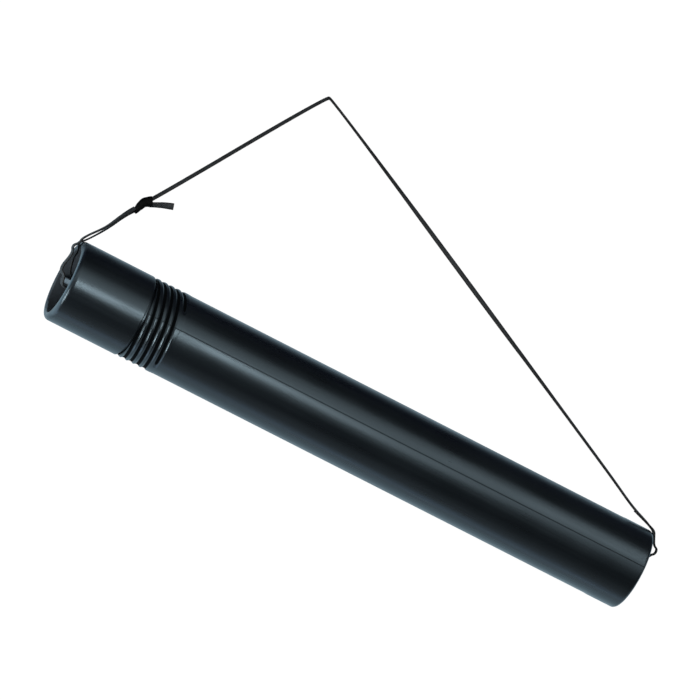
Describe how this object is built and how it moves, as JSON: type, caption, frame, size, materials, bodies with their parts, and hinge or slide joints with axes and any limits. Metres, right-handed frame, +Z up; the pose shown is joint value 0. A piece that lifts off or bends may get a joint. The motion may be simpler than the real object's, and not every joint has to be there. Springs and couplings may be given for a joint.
{
  "type": "telescopic drawing tube",
  "caption": "Closed telescopic drawing tube of black moulded plastic, with a screw-threaded mouth, recessed ends and a knotted flat carrying lace.",
  "frame": {"origin": "on the ground below the middle of the closed tube", "axes": "+X along the tube from the head to the foot, +Y to the side on which the lace lies, +Z up"},
  "size_m": [0.6582, 0.3185, 0.084],
  "materials": {
    "moulded_plastic": "satin black, as blown, with broad soft highlights",
    "lace": "black flat woven lace with a slight sheen"
  },
  "bodies": {
    "outer": {"outer_tube": "moulded_plastic", "strap_run": "lace"},
    "lace_end": {"strap_loop": "lace", "strap_tail": "lace", "strap_knot": "lace"},
    "inner": {"inner_tube": "moulded_plastic"}
  },
  "joints": [
    {"name": "tube_extend", "type": "slide", "parent": "outer", "child": "lace_end", "axis": [-1, 0, 0], "range_m": [0, 0.4641], "deforming": ["strap_run"]},
    {"name": "head_twist", "type": "hinge", "parent": "lace_end", "child": "inner", "pos_m": [-0.31875, 0, 0.042], "axis": [-1, 0, 0], "range_deg": [0, 5760], "deforming": ["strap_loop"]}
  ],
  "couplings": [
    {"joint": "tube_extend", "follows": "head_twist", "m_per_rad": 0.0046155}
  ]
}
